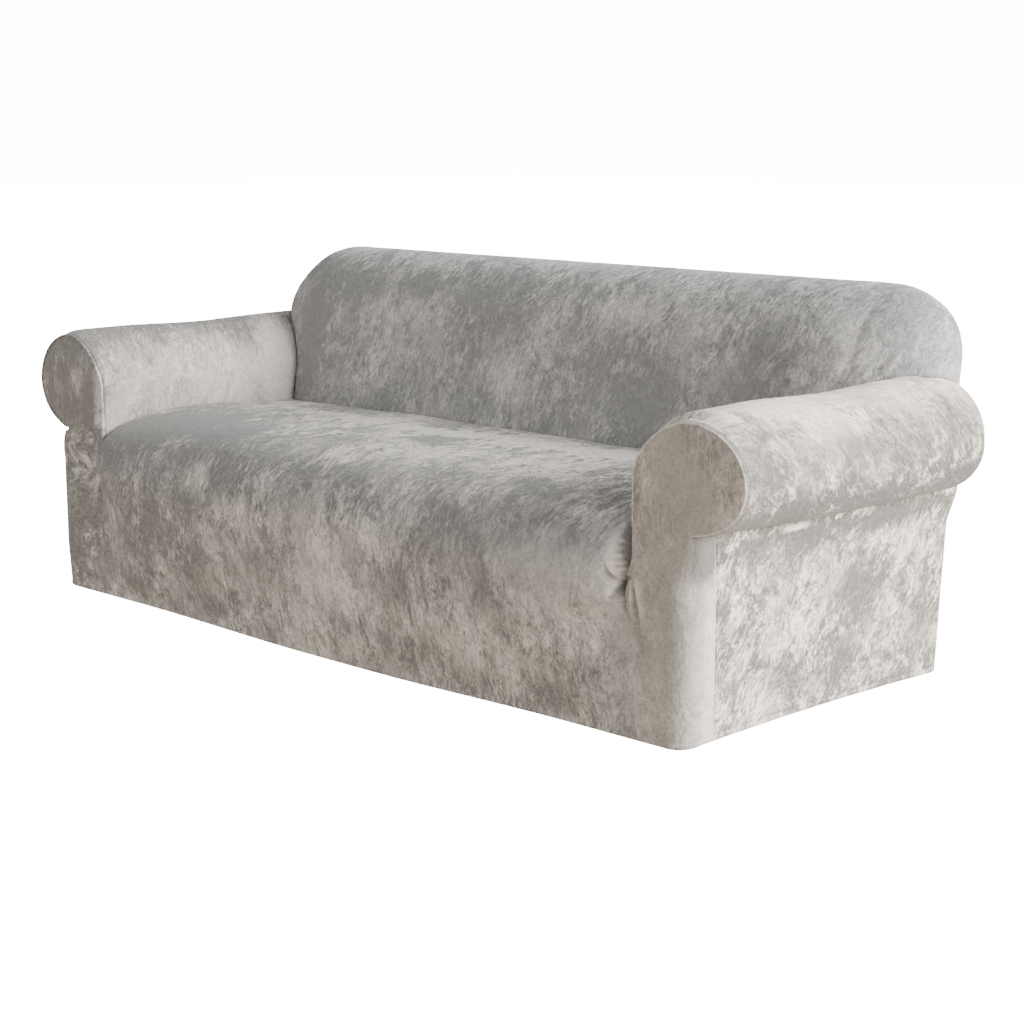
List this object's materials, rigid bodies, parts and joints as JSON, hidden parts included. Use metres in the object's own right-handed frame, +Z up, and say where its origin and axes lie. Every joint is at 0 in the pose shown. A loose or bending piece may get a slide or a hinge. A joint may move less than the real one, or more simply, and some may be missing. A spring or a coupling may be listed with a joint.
{
  "type": "stretch sofa cover",
  "caption": "Fitted stretch cover in crushed velvet for a roll-arm sofa, hollow and open below, shaped by the sofa it is pulled over.",
  "frame": {"origin": "centre of the cover's box in plan, at the lowest point of the hem", "axes": "+X along the sofa towards its right arm as seen from the front, -Y towards the front of the seat, +Z up"},
  "size_m": [2.2096, 0.9384, 0.8105],
  "materials": {
    "velvet": "crushed stretch velvet, light grey, matt with a soft sheen"
  },
  "bodies": {
    "root": {"seat_front": "velvet", "inside_back": "velvet", "outside_back": "velvet", "arm_left": "velvet", "arm_front_left": "velvet", "side_left": "velvet", "arm_right": "velvet", "arm_front_right": "velvet", "side_right": "velvet"}
  },
  "joints": []
}
